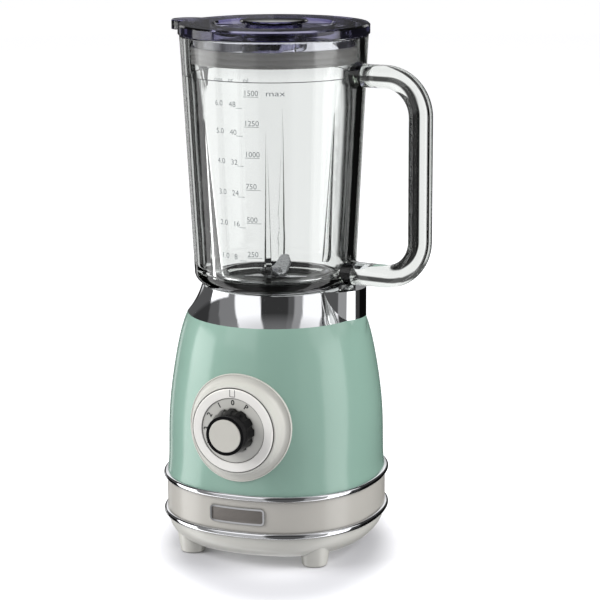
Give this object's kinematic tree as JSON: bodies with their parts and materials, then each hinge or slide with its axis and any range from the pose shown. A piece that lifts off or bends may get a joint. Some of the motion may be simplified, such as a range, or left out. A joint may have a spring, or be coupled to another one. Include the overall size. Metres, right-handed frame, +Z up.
{
  "type": "countertop blender",
  "caption": "Countertop blender with a lidded glass jug on a rounded motor base, a rotary speed knob on the front, a bright collar and trim rings, and a blade unit driven through a coupling.",
  "frame": {"origin": "on the counter, under the vertical axis that the motor, blades and jug share", "axes": "+Z up along that axis; -Y towards the speed knob; +X towards the collar bump under the jug handle"},
  "size_m": [0.2127, 0.1864, 0.4],
  "materials": {
    "sage_paint": "glossy sage green enamel",
    "bright_chrome": "mirror-bright plating",
    "cream_plastic": "smooth warm cream moulding",
    "black_plastic": "fine matt black moulding",
    "grey_plastic": "dark grey-green moulding",
    "badge_metal": "satin, bare",
    "clear_glass": "clear pressed glass",
    "smoky_plastic": "dark smoky moulding",
    "grey_silicone": "translucent grey silicone",
    "black_rubber": "moulded black rubber",
    "blade_steel": "brushed stainless, ground edges",
    "plain_steel": "bright zinc-plated steel",
    "bush_bronze": "sintered bronze",
    "laminated_steel": "stacked laminations",
    "bracket_alloy": "die-cast alloy",
    "winding_copper": "enamelled copper",
    "brush_carbon": "carbon"
  },
  "bodies": {
    "base": {"body_shell": "sage_paint", "chrome_collar": "bright_chrome", "jug_seat": "grey_plastic", "base_band": "cream_plastic", "upper_trim_ring": "bright_chrome", "lower_trim_ring": "bright_chrome", "base_tray": "cream_plastic", "front_left_foot": "cream_plastic", "front_right_foot": "cream_plastic", "rear_left_foot": "cream_plastic", "rear_right_foot": "cream_plastic", "base_screws": "plain_steel", "badge_frame": "bright_chrome", "badge_field": "badge_metal", "dial_bezel": "cream_plastic", "dial_ring": "cream_plastic", "rotary_switch": "black_plastic", "interlock_switch": "black_plastic", "stator_core": "laminated_steel", "field_coils": "winding_copper", "upper_bracket": "bracket_alloy", "lower_bracket": "bracket_alloy", "upper_bearing": "plain_steel", "lower_bearing": "plain_steel", "brush_holders": "black_plastic", "carbon_brushes": "brush_carbon", "motor_dampers": "black_rubber", "motor_screws": "plain_steel", "tie_bolts": "plain_steel", "cord_gland": "black_plastic", "cord_clamp": "black_plastic", "clamp_screws": "plain_steel"},
    "knob": {"number_disc": "cream_plastic", "knob_grip": "black_plastic", "knob_cap": "cream_plastic", "knob_spindle": "plain_steel"},
    "interlock": {"interlock_plunger": "grey_plastic"},
    "rotor": {"rotor_shaft": "plain_steel", "armature_core": "laminated_steel", "armature_windings": "winding_copper", "commutator": "winding_copper", "cooling_fan": "black_plastic", "drive_coupling": "black_rubber"},
    "jug": {"glass_jug": "clear_glass", "jug_base_ring": "grey_plastic", "blade_carrier": "grey_plastic", "carrier_seal": "grey_silicone", "upper_bush": "bush_bronze", "lower_bush": "bush_bronze", "shaft_seal": "black_rubber"},
    "blades": {"blade_shaft": "blade_steel", "lower_blades": "blade_steel", "blade_washer": "blade_steel", "upper_blades": "blade_steel", "blade_nut": "blade_steel", "drive_dog": "grey_plastic"},
    "lid": {"lid": "smoky_plastic", "lid_seal": "grey_silicone"},
    "cap": {"filler_cap": "smoky_plastic"}
  },
  "joints": [
    {"name": "knob_turn", "type": "hinge", "parent": "base", "child": "knob", "pos_m": [0, -0.0866, 0.1085], "axis": [0, -1, 0], "range_deg": [-120, 30]},
    {"name": "rotor_spin", "type": "hinge", "parent": "base", "child": "rotor", "pos_m": [0, 0, 0.12], "axis": [0, 0, 1], "continuous": true},
    {"name": "jug_lift", "type": "slide", "parent": "base", "child": "jug", "axis": [0, 0, 1], "range_m": [0, 0.06]},
    {"name": "interlock_rise", "type": "slide", "parent": "base", "child": "interlock", "axis": [0, 0, 1], "range_m": [0, 0.003]},
    {"name": "blade_spin", "type": "hinge", "parent": "jug", "child": "blades", "pos_m": [0, 0, 0.19], "axis": [0, 0, 1], "continuous": true},
    {"name": "lid_lift", "type": "slide", "parent": "jug", "child": "lid", "axis": [0, 0, 1], "range_m": [0, 0.06]},
    {"name": "cap_lift", "type": "slide", "parent": "lid", "child": "cap", "axis": [0, 0, 1], "range_m": [0, 0.05]}
  ],
  "couplings": [
    {"joint": "blade_spin", "follows": "rotor_spin", "ratio": 1},
    {"joint": "interlock_rise", "follows": "jug_lift", "ratio": 0.05}
  ]
}
